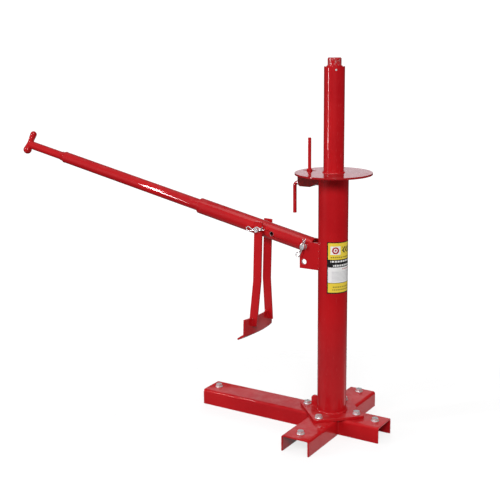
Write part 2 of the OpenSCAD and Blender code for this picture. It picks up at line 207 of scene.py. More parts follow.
class Finish(Graph):
    """One material: its graph, the place of the shaded point and the surface shader."""

    def __init__(self, name):
        self.material = bpy.data.materials.new(name)
        self.material.use_nodes = True
        super().__init__(self.material.node_tree)
        self.shader = next(n for n in self.tree.nodes if n.type == "BSDF_PRINCIPLED")
        self.place = self.node("ShaderNodeTexCoord", {}, {}, "Object")
        self.facing = self.node("ShaderNodeNewGeometry", {}, {}, "Normal")

    def surface(self, **values):
        """Sets sockets of the surface shader by name, such as base_color or coat_weight."""
        for name, value in values.items():
            self.feed(self.shader.inputs[name.replace("_", " ").title().replace("Ior", "IOR")], value)
        return self

    def stretched(self, factors):
        return self.node("ShaderNodeVectorMath", {"operation": "MULTIPLY"}, {0: self.place, 1: factors})

    def noise(self, size, detail=3.0, rough=0.5, place=None):
        """Cloudy noise from 0 to 1 whose blots are about `size` metres across."""
        values = {"Vector": place or self.place, "Scale": 1 / size, "Detail": detail, "Roughness": rough}
        return self.node("ShaderNodeTexNoise", {}, values)

    def bump(self, height, depth):
        """Normals of a surface raised by height times depth metres."""
        return self.node("ShaderNodeBump", {}, {"Strength": 1.0, "Distance": depth, "Height": height})

    def from_line(self, point, direction):
        """Distance from a line through point: the length of (p - a) x d, with d of length 1."""
        offset = self.node("ShaderNodeVectorMath", {"operation": "SUBTRACT"}, {0: self.place, 1: point})
        across = self.node("ShaderNodeVectorMath", {"operation": "CROSS_PRODUCT"}, {0: offset, 1: direction})
        return self.node("ShaderNodeVectorMath", {"operation": "LENGTH"}, {0: across}, 1)

    def along(self, point, direction):
        """How far along a direction the shaded point lies: (p - a) . d."""
        offset = self.node("ShaderNodeVectorMath", {"operation": "SUBTRACT"}, {0: self.place, 1: point})
        return self.node("ShaderNodeVectorMath", {"operation": "DOT_PRODUCT"}, {0: offset, 1: direction}, 1)


# %% [markdown]
# ## A plain studio
# Gloss paint shows mostly what it mirrors, so the light is planned as a set of things to mirror: a tall
# narrow softbox on the left draws the bright upright line on the posts, and a low wide one behind, out of
# sight, turns the disc and the tops of the legs pink. A patch of the surroundings low on the right glows as
# a bright floor would, for the legs' right-hand faces. Everything else that the paint can mirror is dark,
# so that the upright faces keep their deep red. The sky that the camera sees directly is plain white.

# %% Sky and softboxes
bpy.context.scene.view_settings.view_transform = "Standard"
world = bpy.data.worlds.new("studio")
world.use_nodes = True
bpy.context.scene.world = world
sky = Graph(world.node_tree)
look = sky.node("ShaderNodeTexCoord", {}, {}, "Generated")
height = look.axis("Z")
on_the_right = look.axis("X").step(0.22, 0.36) * look.axis("Y").step(0.66, 0.80)
floor_glow = on_the_right * height.step(-0.31, -0.38)
glow = 0.045 + height.step(0.3, 1.0) * 0.2 + floor_glow * 1.5
seen = sky.node("ShaderNodeLightPath", {}, {}, "Is Camera Ray")
background = next(n for n in world.node_tree.nodes if n.type == "BACKGROUND")
background.inputs["Color"].default_value = (1.0, 1.0, 1.0, 1.0)
sky.feed(background.inputs["Strength"], seen * 1.12 + (1 - seen) * glow)


def softbox(name, place, target, width, height, power, tint=(1.0, 1.0, 1.0)):
    """An area light of the given size at place, turned so that it shines on target."""
    light = bpy.data.lights.new(name, "AREA")
    light.shape = "RECTANGLE"
    light.size, light.size_y, light.energy = width, height, power
    light.color = tint
    lamp = bpy.data.objects.new(name, light)
    bpy.context.scene.collection.objects.link(lamp)
    turn = (Vector(place) - Vector(target)).to_track_quat("Z", "Y").to_matrix().to_4x4()
    lamp.matrix_world = Matrix.Translation(place) @ turn
    return lamp


COOL = (1.0, 0.93, 0.985)
softbox("key", (1.7, -3.2, 2.7), (0.0, 0.0, 0.55), 1.8, 1.2, 120)
softbox("left_strip", (-2.3, -2.6, 1.45), (0.0, 0.0, 1.0), 0.14, 2.2, 55, COOL)
softbox("overhead", (-0.3, -0.6, 3.6), (-0.2, 0.0, 0.3), 2.4, 2.0, 20)
right_fill = softbox("right_fill", (2.6, 0.6, 0.9), (0.0, 0.0, 0.3), 1.6, 1.0, 20)
back_fill = softbox("back_fill", (-1.8, 3.4, 2.2), (0.0, 0.0, 0.5), 2.4, 1.4, 60)
behind = softbox("behind", (-1.59, 2.55, 1.31), (0.0, 0.0, 1.31), 4.4, 0.36, 5.4, COOL)
right_fill.visible_glossy = back_fill.visible_glossy = False
behind.visible_camera = back_fill.visible_camera = False

# %% [markdown]
# ## The floor
# A pale floor, only there to stand on and to catch a soft shadow. It fades out a couple of metres away, so
# that no horizon line cuts across the view.

# %% Floor
floor_mesh = bpy.data.meshes.new("floor")
reach = 3.2
corners = [(-reach, -reach, 0), (reach, -reach, 0), (reach, reach, 0), (-reach, reach, 0)]
floor_mesh.from_pydata(corners, [], [(0, 1, 2, 3)])
floor = bpy.data.objects.new("floor", floor_mesh)
bpy.context.scene.collection.objects.link(floor)
ground = Finish("floor_paint")
away = ground.node("ShaderNodeVectorMath", {"operation": "LENGTH"}, {0: ground.place}, 1)
cloud = ground.noise(0.6, 3.0)
ground.surface(
    base_color=ground.mix(cloud, (0.86, 0.86, 0.86), (0.89, 0.89, 0.89)), roughness=0.6 + 0.1 * cloud,
    alpha=away.step(1.5, 0.45) * 0.32,
)
floor.data.materials.append(ground.material)
print("floor:", 2 * reach, "metres square")

# %% [markdown]
# ## Where the moving parts turn
# Rubbed paint and bare rings belong round the pins and at the mouth of the arm tube, so the finishes need
# those places. The pins and the arm's direction come from the joints of the model. The spare holes and the
# tube's mouth have no joint, so their distances are repeated from the solid model where the wear is made.

# %% Pins, the arm's direction and helper boxes
joints = {joint["name"]: joint for joint in frame["joints"]}
ARM_PIN = np.array(joints["arm_pivot"]["pos_m"])
SHOE_PIN = np.array(joints["shoe_pivot"]["pos_m"])
ALONG_ARM = np.array(joints["handle_slide"]["axis"])
CRANK_AXIS = np.array(joints["crank_turn"]["pos_m"])
ACROSS = (0.0, 1.0, 0.0)
arm_slope = math.atan2(ALONG_ARM[2], -ALONG_ARM[0])


def box_of(name):
    """Lowest and highest corner of a CAD node as two arrays, in metres."""
    low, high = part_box(name)
    return np.array(low), np.array(high)


DISC_TOP = box_of("wheel_disc")[1][2]
DISC_UNDER = box_of("wheel_disc")[0][2]
PLATE_TOP = box_of("flange_plate")[1][2]
POST_R = box_of("lower_post")[1][0]
NECK_R = box_of("upper_post")[1][0]
RIM = box_of("upper_post")[1][2]
print("arm slope in degrees:", round(math.degrees(arm_slope), 2), " post radius:", round(POST_R, 4))

# %% [markdown]
# ## Red powder coat
# Powder coat is melted plastic: one even colour, a faint orange-peel skin and a hard gloss. A clear coat
# over a slightly rough base gives that double look. Slow noise shifts the shade by a few per cent, finer
# noise clouds the gloss, a little dust lies on faces that look up, and each part can name the places where
# it has been rubbed dull or worn through to the steel.

# %% Powder coat
RED = (0.52, 0.007, 0.010)
DEEP_RED = (0.43, 0.004, 0.008)
# the disc's reds are darkened as painted shade, so that its level top doesn't come out too bright
DISC_REDS_WITH_PAINTED_SHADE = ((0.30, 0.003, 0.006), (0.35, 0.005, 0.008))
# painted shade: the dark brown that the bracket is painted where the disc shades it
PAINTED_SHADE_BROWN = (0.045, 0.018, 0.012)
DUST = (0.62, 0.46, 0.44)
STEEL = (0.47, 0.46, 0.45)


def powder_coat(
    name, rubbed=None, bare=None, painted_shade=None, dust=0.06, peel=1.0, gloss=0.9, reds=(DEEP_RED, RED)
):
    """Gloss red paint. rubbed and bare take the finish and return a 0 to 1 mask of that wear; the shade mask
    does the same for painted shade, which mixes the colour towards dark brown.
    """
    f = Finish(name)
    shade = f.noise(0.16, 2.0).step(0.3, 0.75)
    colour = f.mix(shade, *reds)
    colour = f.mix(f.noise(0.012, 4.0).step(0.45, 0.75) * 0.10, colour, (0.60, 0.014, 0.02))
    up = f.facing.axis("Z").step(0.55, 0.98)
    settled = up * f.noise(0.035, 5.0, 0.62).step(0.38, 0.72) * dust
    colour = f.mix(settled, colour, DUST)
    smudge = f.noise(0.028, 4.0, 0.6).step(0.35, 0.8)
    rough = 0.45 + smudge * 0.08 + settled * 0.3
    skin = f.noise(0.0032, 1.0) + 0.25 * f.noise(0.0009, 1.0)
    coat = gloss - 0.1 * smudge - settled
    metal = 0.0
    if rubbed:
        dull = rubbed(f)
        colour = f.mix(dull * 0.35, colour, (0.55, 0.10, 0.10))
        rough = rough + dull * 0.25
        coat = coat * (1 - 0.7 * dull)
    # painted shade: darkens the colour towards dark brown where a shadow would fall
    if painted_shade:
        colour = f.mix(painted_shade(f), colour, PAINTED_SHADE_BROWN)
    if bare:
        metal = bare(f)
        colour = f.mix(metal, colour, STEEL)
        rough = rough + metal * 0.12
        coat = (coat * (1 - metal)).greater(0.0)
        skin = skin - metal * 0.8
    f.surface(
        base_color=colour, roughness=rough, metallic=metal, coat_weight=coat,
        coat_roughness=0.03, coat_ior=1.42, specular_ior_level=0.1, normal=f.bump(skin, 0.000012 * peel),
    )
    return f.material


def fine_scratches(f, direction_stretch, density=0.62):
    """Thin broken lines: noise pulled long in one direction, with only its crests kept."""
    lines = f.noise(0.0016, 2.0, 0.5, f.stretched(direction_stretch)).step(density, density + 0.07)
    return lines * f.noise(0.02, 2.0).step(0.42, 0.6)


def ring_wear(f, point, radius, width, direction=ACROSS):
    """A ragged band round a pin, from the hole's rim outwards."""
    away = f.from_line(tuple(point), direction)
    ragged = away + (f.noise(0.004, 3.0) - 0.5) * width
    return ragged.step(radius + width, radius + width * 0.4) * f.noise(0.0025, 2.0).step(0.3, 0.5)


# %% [markdown]
# ## A red for each part
# The same paint ages differently: the upper post is scraped by wheel hubs, the disc by wheel faces, the
# blade's lip by rims, the handle where it slides in the arm, and the ears round their pins. The disc alone
# starts from deeper reds. That is a correction for the light, not another paint: a level face catches most
# of it and would come out too bright.

# %% The paint of each part
LOW_EAR_HOLE = ARM_PIN - np.array([0, 0, 0.047])
SPARE_HOLE = SHOE_PIN - 0.045 * ALONG_ARM
ARM_HOLE_R, SHOE_HOLE_R = 0.008, 0.0065
MOUTH = 0.405  # the arm tube's open end, in metres from the arm pin along the tube


def up_the_arm(f):
    """How far the shaded point is from the arm pin, along the arm."""
    return f.along(tuple(ARM_PIN), tuple(ALONG_ARM))


def post_rub(f):
    return fine_scratches(f, (1.0, 1.0, 0.05), 0.66)


def leg_rub(f):
    return fine_scratches(f, (0.2, 0.2, 1.0), 0.68)


def hub_rub(f):
    low = f.place.axis("Z").step(RIM, DISC_TOP)
    return fine_scratches(f, (1.0, 1.0, 0.08), 0.60) * (0.35 + low * 0.65)


def disc_rub(f):
    """Arcs left by turning wheels: noise of the distance from the post's axis."""
    from_axis = f.from_line((0, 0, 0), (0, 0, 1))
    turned = f.node("ShaderNodeCombineXYZ", {}, {0: from_axis, 1: f.place.axis("X") * 0.06})
    up = f.facing.axis("Z").step(0.8, 0.95)
    return up * f.noise(0.0018, 2.0, 0.5, turned).step(0.60, 0.70) * f.noise(0.03, 2.0).step(0.45, 0.6)


def spigot_bare(f):
    """Blots where hubs have knocked the paint off the plug above the rim."""
    above = f.place.axis("Z").step(RIM + 0.002, RIM + 0.004)
    return above * f.noise(0.0045, 3.0, 0.6).step(0.47, 0.66) * 0.45


def bracket_painted_shade(f):
    """Painted shade of the disc on the bracket: a 0.45 to 0.85 mix towards dark brown, in cloudy patches."""
    return 0.45 + 0.4 * f.noise(0.012, 4.0, 0.6).step(0.35, 0.7)


def ear_bare(f):
    wear = ring_wear(f, ARM_PIN, ARM_HOLE_R, 0.0022) + 0.6 * ring_wear(f, LOW_EAR_HOLE, ARM_HOLE_R, 0.0010)
    return wear.lesser(1.0)


def arm_rub(f):
    mouth = up_the_arm(f).step(MOUTH - 0.045, MOUTH)
    everywhere = fine_scratches(f, (0.07, 1.0, 0.5), 0.68)
    return (everywhere + mouth * fine_scratches(f, (0.3, 1.0, 1.0), 0.55)).lesser(1.0)


def arm_bare(f):
    wear = ring_wear(f, SHOE_PIN, SHOE_HOLE_R, 0.0016) + ring_wear(f, SPARE_HOLE, SHOE_HOLE_R, 0.0010)
    lip = up_the_arm(f).step(MOUTH - 0.0014, MOUTH - 0.0004) * f.noise(0.003, 3.0).step(0.48, 0.62)
    return (wear + ring_wear(f, ARM_PIN, ARM_HOLE_R, 0.0016) + lip).lesser(1.0)


def handle_rub(f):
    inside = up_the_arm(f).step(0.56, 0.40)
    everywhere = fine_scratches(f, (0.06, 1.0, 0.4), 0.66)
    return (everywhere + inside * fine_scratches(f, (0.05, 1.0, 0.4), 0.56)).lesser(1.0)


def strap_bare(f):
    return ring_wear(f, SHOE_PIN, SHOE_HOLE_R, 0.0018)


def blade_bare(f):
    low = f.place.axis("Z").step(0.262, 0.248) * f.noise(0.007, 4.0, 0.65).step(0.42, 0.58)
    return low + (1 - low) * fine_scratches(f, (1.0, 1.0, 0.12), 0.70) * 0.6


def lug_rub(f):
    return fine_scratches(f, (1.0, 1.0, 0.10), 0.60)


# %% [markdown]
# Now the coats themselves. Each names only what sets it apart: its wear, its dust, its gloss, or the painted
# shade on the bracket and the disc.

# %% Mix the paints
paint = {
    "post": powder_coat("post_paint", rubbed=post_rub),
    "hub": powder_coat("hub_post_paint", rubbed=hub_rub),
    "spigot": powder_coat("spigot_paint", bare=spigot_bare),
    # the disc starts from darker reds: painted shade on its level top
    "disc": powder_coat("disc_paint", rubbed=disc_rub, dust=0.07, reds=DISC_REDS_WITH_PAINTED_SHADE),
    "legs": powder_coat("leg_paint", rubbed=leg_rub, dust=0.10, gloss=0.45),
    # the bracket is painted dark: painted shade under the disc
    "bracket": powder_coat("bracket_paint", painted_shade=bracket_painted_shade),
    "ears": powder_coat("ear_paint", bare=ear_bare),
    "arm": powder_coat("arm_paint", rubbed=arm_rub, bare=arm_bare),
    "handle": powder_coat("handle_paint", rubbed=handle_rub),
    "straps": powder_coat("strap_paint", bare=strap_bare),
    "blade": powder_coat("blade_paint", bare=blade_bare),
    "lug": powder_coat("lug_paint", rubbed=lug_rub, peel=0.7),
    "welds": powder_coat("weld_paint", dust=0.05, peel=1.6),
}
print("paints:", len(paint))

# %% [markdown]
# ## Zinc plate and oiled steel
# The bolts, pins and clips are zinc plated. Bright zinc is silver with faint patches that lean to blue or
# to straw, and it is dull where a spanner or a hole has rubbed it. The slide block under the disc is plain
# steel, dark with oil, with the lines of the cutter still on it.

# %% Plated and oiled metal
def zinc_plate(name, grain=(1.0, 1.0, 1.0), rough=0.22):
    f = Finish(name)
    tint = f.noise(0.011, 3.0).step(0.35, 0.7)
    colour = f.mix(tint, (0.84, 0.86, 0.89), (0.92, 0.91, 0.86))
    dull = f.noise(0.004, 4.0, 0.6, f.stretched(grain)).step(0.42, 0.75)
    colour = f.mix(dull * 0.35, colour, (0.62, 0.63, 0.64))
    marks = f.noise(0.0012, 2.0, 0.5, f.stretched(grain))
    f.surface(
        base_color=colour, metallic=0.85, roughness=rough + dull * 0.22,
        normal=f.bump(marks, 0.00003),
    )
    return f.material


def oiled_steel(name):
    f = Finish(name)
    lines = f.noise(0.0008, 2.0, 0.5, f.stretched((1.0, 0.04, 1.0)))
    oil = f.noise(0.008, 4.0, 0.6).step(0.4, 0.65)
    f.surface(
        base_color=f.mix(oil, (0.30, 0.30, 0.31), (0.10, 0.085, 0.07)), metallic=0.9,
        roughness=0.42 - 0.2 * oil, normal=f.bump(lines, 0.00004),
    )
    return f.material


metal = {
    "bolts": zinc_plate("bolt_zinc", rough=0.42),
    "pins": zinc_plate("pin_zinc", grain=(1.0, 0.25, 1.0), rough=0.28),
    "wire": zinc_plate("clip_wire_zinc", rough=0.30),
    "collars": zinc_plate("collar_zinc", rough=0.30),
    "block": oiled_steel("slide_block_steel"),
}
print("metals:", sorted(metal))

# %% [markdown]
# ## The sticker on the post
# A printed vinyl sticker wraps the side of the post that faces away from the arm. It has a yellow head, a
# black band, a white panel and a yellow foot inside a black frame. It carries no words: the head shows a
# red wheel on a white patch and a row of chevrons, and the lines elsewhere are plain dashes and rules.
# Two numbers place everything on it: the height up the sticker, and the way round the post in metres.

# %% Sticker
label_low, label_high = box_of("label")


def sticker():
    f = Finish("sticker_print")
    tall = label_high[2] - label_low[2]
    v = (f.place.axis("Z") - label_low[2]) / tall
    turn = f.node("ShaderNodeMath", {"operation": "ARCTAN2"}, {0: f.place.axis("Y"), 1: f.place.axis("X")})
    u = turn * POST_R
    half = math.radians(86) * POST_R

    def band(value, low, high, soft=0.004):
        return value.step(low - soft, low + soft) * value.step(high + soft, high - soft)

    def dashes(height, thickness, start, pitch):
        """A row of dashes at a height up the sticker, from start to near its right edge."""
        dash = f.node("ShaderNodeMath", {"operation": "FRACT"}, {0: u / pitch + 100.0})
        row = dash.step(0.06, 0.12) * dash.step(0.84, 0.78) * band(v, height - thickness, height + thickness)
        return row * band(u, start, half * 0.88, 0.0002)

    yellow, black, white = (0.88, 0.66, 0.06), (0.012, 0.011, 0.012), (0.90, 0.89, 0.88)
    red, grey, ink = (0.45, 0.008, 0.02), (0.38, 0.38, 0.42), (0.05, 0.045, 0.03)
    colour = f.mix(v.step(0.206, 0.212), yellow, white)
    colour = f.mix(v.step(0.511, 0.515), colour, black)
    colour = f.mix(v.step(0.660, 0.666), colour, yellow)
    # head: a white patch with a wheel as a red ring and hub, then dark chevrons and a row of dashes
    across, upright = u + 0.0410, (v - 0.838) * tall
    patch = band(across, -0.0150, 0.0150, 0.0002) * band(upright, -0.0125, 0.0125, 0.0002)
    colour = f.mix(patch, colour, white)
    away = (across * across + upright * upright) ** 0.5
    wheel = away.step(0.0107, 0.0103) * away.step(0.0058, 0.0062) + away.step(0.0032, 0.0028)
    colour = f.mix(wheel, colour, red)
    slant = (u - abs(upright)) / 0.0115 + 100.3
    chevron = f.node("ShaderNodeMath", {"operation": "FRACT"}, {0: slant})
    stripes = chevron.step(0.44, 0.48) * chevron.step(1.0, 0.96)
    colour = f.mix(stripes * band(u, -0.0205, half * 0.86, 0.0002) * band(v, 0.790, 0.905), colour, ink)
    colour = f.mix(dashes(0.706, 0.011, -0.056, 0.0062) * 0.75, colour, ink)
    # black band: two rows of white dashes; white panel: a red row and fine grey rules
    colour = f.mix(dashes(0.626, 0.016, -0.0560, 0.0088), colour, white)
    colour = f.mix(dashes(0.547, 0.017, -0.0480, 0.0074), colour, white)
    colour = f.mix(dashes(0.476, 0.010, -0.0190, 0.0066) * 0.8, colour, red)
    lines = v * 42.0
    row = f.node("ShaderNodeMath", {"operation": "FRACT"}, {0: lines})
    rank = f.node("ShaderNodeMath", {"operation": "FLOOR"}, {0: lines})
    reach = f.node("ShaderNodeMath", {"operation": "FRACT"}, {0: rank * 0.618}) * 0.030 + 0.026
    ruled = row.step(0.30, 0.40) * row.step(0.72, 0.62) * band(v, 0.238, 0.440)
    ruled = ruled * u.step(-0.0525, -0.0520) * (reach - u).step(0.0, 0.0004)
    colour = f.mix(ruled * 0.65, colour, grey)
    # foot: two rows of dashes
    foot = dashes(0.128, 0.013, -0.050, 0.0070) + dashes(0.075, 0.013, -0.050, 0.0058)
    colour = f.mix(foot * 0.6, colour, ink)
    sides = (abs(u) - half + 0.0032).step(-0.0003, 0.0003)
    frame_mask = sides + v.step(0.024, 0.019) + v.step(0.979, 0.984) + band(v, 0.203, 0.213, 0.002)
    colour = f.mix(frame_mask.lesser(1.0), colour, black)
    scuff = f.noise(0.006, 5.0, 0.65).step(0.56, 0.72)
    colour = f.mix(scuff * 0.06, colour, (0.55, 0.50, 0.45))
    f.surface(
        base_color=colour, roughness=0.30 + 0.2 * scuff, coat_weight=0.5, coat_roughness=0.12,
        normal=f.bump(f.noise(0.02, 2.0), 0.0001),
    )
    return f.material


sticker_print = sticker()
print("sticker height in millimetres:", round((label_high[2] - label_low[2]) * 1000, 1))

# %% [markdown]
# ## Giving every part its finish
# The table reads like a paint shop's job list: the finish, then the parts that get it.

# %% Dress the CAD parts
job_list = {
    paint["post"]: ["lower_post", "base_gusset"],
    paint["hub"]: ["upper_post"],
    paint["spigot"]: ["post_spigot"],
    paint["bracket"]: ["lug_bracket"],
    paint["disc"]: ["wheel_disc"],
    paint["legs"]: ["long_leg", "front_leg", "rear_leg", "flange_plate"],
    paint["ears"]: ["front_ear", "rear_ear"],
    paint["arm"]: ["arm_tube"],
    paint["handle"]: ["handle_tube", "handle_reducer", "handle_bar", "hook_head"],
    paint["straps"]: ["front_strap", "rear_strap"],
    paint["blade"]: ["shoe_blade"],
    paint["lug"]: ["lug_pin", "lug_collar", "crank_rod"],
    metal["bolts"]: ["anchor_bolts", "anchor_washers", "flange_bolts", "flange_washers", "flange_nuts"],
    metal["pins"]: ["arm_pin", "shoe_pin", "spigot_pin", "crank_screw"],
    metal["wire"]: ["arm_pin_clip", "shoe_pin_clip"],
    metal["collars"]: ["crank_collar", "crank_clip"],
    metal["block"]: ["lug_block"],
    sticker_print: ["label"],
}
finish_of = {}
for finish, names in job_list.items():
    for name in names:
        nodes[name].data.materials.clear()
        nodes[name].data.materials.append(finish)
        finish_of[name] = finish
assert set(finish_of) == set(nodes)
print("dressed", len(finish_of), "parts")

# %% [markdown]
# ## Eased edges
# No sheet-metal part has a razor edge, and on gloss paint the thin line of light along an edge is what
# makes the steel look solid. A CAD part arrives as loose triangles, so a copy is welded together, its flat
# faces are joined up, and a Bevel modifier rounds only the sharp corners. The copy takes the part's place.

# %% Round the sharp corners of flat parts
PIECE_BODY = {n: body for body, members in frame["record"]["behaviour"]["bodies"].items() for n in members}


def finished_piece(name, mesh, body, finish, stands_for=()):
    """Puts a mesh in the scene as a piece that rides on a body and has one finish."""
    piece = bpy.data.objects.new(name, mesh)
    bpy.context.scene.collection.objects.link(piece)
    mesh.materials.clear()
    mesh.materials.append(finish)
    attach(piece, body)
    if stands_for:
        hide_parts(*stands_for)
    return piece


def eased(name, width):
    """A copy of a CAD part whose sharp corners are rounded off by `width` metres."""
    mesh = nodes[name].data.copy()
    work = bmesh.new()
    work.from_mesh(mesh)
    bmesh.ops.remove_doubles(work, verts=work.verts, dist=2e-6)
    bmesh.ops.dissolve_limit(work, angle_limit=math.radians(0.6), verts=work.verts, edges=work.edges)
    work.to_mesh(mesh)
    work.free()
    for shading in ("custom_normal", "sharp_edge", "sharp_face"):
        if shading in mesh.attributes:
            mesh.attributes.remove(mesh.attributes[shading])
    mesh.shade_smooth()
    piece = finished_piece(name + "_eased", mesh, PIECE_BODY[name], finish_of[name], [name])
    rounding = piece.modifiers.new("eased corners", "BEVEL")
    rounding.width = width
    rounding.segments = 2
    rounding.limit_method = "ANGLE"
    rounding.angle_limit = math.radians(32)
    rounding.use_clamp_overlap = False
    flat = piece.modifiers.new("flat faces stay flat", "WEIGHTED_NORMAL")
    flat.mode = "FACE_AREA"
    flat.weight = 50
    return piece


# %% [markdown]
# A pressed plate has a rounder edge than a cut tube, so each part has its own width, in millimetres. Tubes
# that slide in each other get the smallest.

# %% Ease the parts
EDGE_MM = {
    "flange_plate": 1.0, "wheel_disc": 1.0, "front_ear": 0.8, "rear_ear": 0.8,
    "front_strap": 0.8, "rear_strap": 0.8, "shoe_blade": 1.0, "lug_bracket": 0.6, "base_gusset": 0.8,
    "long_leg": 0.8, "front_leg": 0.8, "rear_leg": 0.8,
    "arm_tube": 0.6, "handle_tube": 0.5, "handle_reducer": 0.3,
}
for name, width in EDGE_MM.items():
    eased(name, width / 1000)
for name, width in {"arm_pin": 0.7, "shoe_pin": 0.6, "flange_washers": 0.3, "anchor_washers": 0.3}.items():
    eased(name, width / 1000)
eased("lug_block", 0.0006)
eased("crank_collar", 0.0006)
print("eased parts:", len(EDGE_MM) + 6)

# %% [markdown]
# ## Tubes carried along a path
# Weld beads, clip wires and threads are all one idea: a closed outline carried along a path. The path is an
# array of points, the outline turns with the path's direction, and the whole surface is one array of
# points that becomes a mesh in a single call.

# %% Sweep a round outline along a path


def frames_along(path, up, closed):
    """Unit direction t, side n = t x up and b = t x n at each point of a path."""
    if closed:
        ahead = np.roll(path, -1, axis=0) - np.roll(path, 1, axis=0)
    else:
        ahead = np.gradient(path, axis=0)
    t = ahead / np.linalg.norm(ahead, axis=1, keepdims=True)
    n = np.cross(t, up)
    n /= np.linalg.norm(n, axis=1, keepdims=True)
    return t, n, np.cross(t, n)


def swept_points(path, radius, up=(0, 0, 1), closed=False, sides=12):
    """Surface p(i, k) = c_i + r_i (cos a_k n_i + sin a_k b_i), with a_k = 2 pi k / sides."""
    t, n, b = frames_along(path, np.array(up, float), closed)
    a = 2 * np.pi * np.arange(sides) / sides
    ring = np.cos(a)[None, :, None] * n[:, None, :] + np.sin(a)[None, :, None] * b[:, None, :]
    return path[:, None, :] + np.broadcast_to(radius, len(path))[:, None, None] * ring


def mesh_of_tubes(name, tubes, closed):
    """Joins several swept surfaces, each rows by sides, into one mesh and caps the open ones."""
    points, faces, first = [], [], 0
    for tube in tubes:
        rows, sides = tube.shape[:2]
        i = np.arange(rows if closed else rows - 1)[:, None]
        k = np.arange(sides)[None, :]
        low, high = i * sides, ((i + 1) % rows) * sides
        quads = np.stack([low + k, low + (k + 1) % sides, high + (k + 1) % sides, high + k], axis=-1)
        faces += (quads.reshape(-1, 4) + first).tolist()
        if not closed:
            ring = np.arange(sides)
            faces += [(ring[::-1] + first).tolist(), (ring + first + (rows - 1) * sides).tolist()]
        points.append(tube.reshape(-1, 3))
        first += rows * sides
    mesh = bpy.data.meshes.new(name)
    mesh.from_pydata(np.concatenate(points), [], faces)
    mesh.shade_smooth()
    mesh.validate()
    return mesh


# %% [markdown]
# ## Weld beads
# A hand-laid bead is a row of overlapping drops: its thickness pulses every few millimetres and wanders a
# little, and paint pools in between. The bead's radius is a base size times a pulse |cos| of the way along,
# plus smooth seeded noise, and open beads round off at both ends.

# %% Lay the beads
laid = np.random.default_rng(7)


def bead(path, size, up=(0, 0, 1), closed=False):
    """Bead radius r(s) = size (0.86 + 0.2 |cos(pi s / 4 mm)| + wander(s)), tapered at open ends."""
    steps = np.linalg.norm(np.diff(path, axis=0), axis=1)
    s = np.concatenate([[0], np.cumsum(steps)])
    wander = np.interp(s, np.linspace(0, s[-1], max(4, int(s[-1] / 0.006))),
                       laid.normal(0, 0.07, max(4, int(s[-1] / 0.006))))
    radius = size * (0.86 + 0.20 * np.abs(np.cos(np.pi * s / 0.004)) + wander)
    if not closed:
        end = np.minimum(s, s[-1] - s) / size
        radius = radius * np.sqrt(np.clip(end, 0.01, 1))
    return swept_points(path, radius, up, closed)


def ring_path(radius, height, count):
    """A level circle round the posts' axis: (r cos a, r sin a, z)."""
    a = 2 * np.pi * np.arange(count) / count
    return np.stack([radius * np.cos(a), radius * np.sin(a), np.full(count, height)], axis=1)


def line_path(start, end, step=0.0006):
    """Points at an even step from start to end."""
    start, end = np.array(start, float), np.array(end, float)
    count = max(8, int(np.linalg.norm(end - start) / step))
    return start + np.linspace(0, 1, count)[:, None] * (end - start)


def seam(start, end, size, up=(1, 0, 0)):
    """A straight bead from start to end; up is any direction that it doesn't run in."""
    return bead(line_path(start, end), size, up)


def weld(name, tubes, body, closed=False):
    return finished_piece(name, mesh_of_tubes(name, tubes, closed), body, paint["welds"])


for name, radius, height, count, size in (
    ("weld_post_foot", POST_R + 0.0006, PLATE_TOP + 0.0006, 420, 0.0038),
    ("weld_under_disc", POST_R + 0.0004, DISC_UNDER - 0.0004, 420, 0.0034),
    ("weld_on_disc", NECK_R + 0.0004, DISC_TOP + 0.0004, 300, 0.0024),
    ("weld_spigot", 0.0212, RIM + 0.0004, 220, 0.0022),
):
    weld(name, [bead(ring_path(radius, height, count), size, closed=True)], "stand", True)
    print(name, "is", round(2 * math.pi * radius * 1000), "mm long")

# %% [markdown]
# ## Beads on the arm's ears, the legs and the bracket
# These run in straight lines along the corners where two plates meet. Each corner's place comes from the
# boxes of the two parts, and where a flat plate meets the round post, from the circle's half chord.

# %% Straight beads
ear_low, ear_high = box_of("front_ear")


def post_x(y):
    """The post's surface on the arm's side at a sideways distance y: x = -sqrt(r^2 - y^2)."""
    return -math.sqrt(POST_R ** 2 - y ** 2)


EAR_IN, EAR_OUT = -ear_high[1], -ear_low[1]
ear_lines = []
for side in (-1, 1):
    for y in (EAR_IN, EAR_OUT):
        x = post_x(y)
        ear_lines.append(seam((x, side * y, ear_low[2] + 0.001), (x, side * y, ear_high[2] - 0.001), 0.0030))
weld("weld_ears", ear_lines, "stand")

leg_lines = []
for side, name in ((-1, "front_leg"), (1, "rear_leg")):
    low, high = box_of(name)
    y = high[1] if side < 0 else low[1]
    for x in (low[0], high[0]):
        leg_lines.append(seam((x, y, 0.002), (x, y, high[2] - 0.008), 0.0028))
weld("weld_legs", leg_lines, "stand")

bracket_low, bracket_high = box_of("lug_bracket")
bracket_lines = []
for y in (bracket_low[1], bracket_high[1]):
    x = post_x(y)
    bracket_lines.append(seam((bracket_low[0] + 0.001, y, DISC_UNDER), (x, y, DISC_UNDER), 0.0020, (0, 0, 1)))
    bracket_lines.append(seam((x, y, bracket_low[2] + 0.020), (x, y, DISC_UNDER), 0.0020))
weld("weld_bracket", bracket_lines, "stand")

tab_low, tab_high = box_of("base_gusset")
tab_lines = []
for y in (tab_low[1], tab_high[1]):
    x = post_x(y)
    tab_lines.append(seam((tab_low[0] + 0.001, y, PLATE_TOP), (x, y, PLATE_TOP), 0.0022, (0, 0, 1)))
    tab_lines.append(seam((x, y, PLATE_TOP), (x, y, tab_high[2] - 0.002), 0.0022))
weld("weld_tab", tab_lines, "stand")
print("straight beads:", len(ear_lines) + len(leg_lines) + len(bracket_lines) + len(tab_lines))

# %% [markdown]
# ## Beads on the shoe
# The straps end on the blade's outer face. On the shoe the directions lean with the straps, so the beads
# are drawn in the shoe's own frame first and then turned and moved on to the pin.

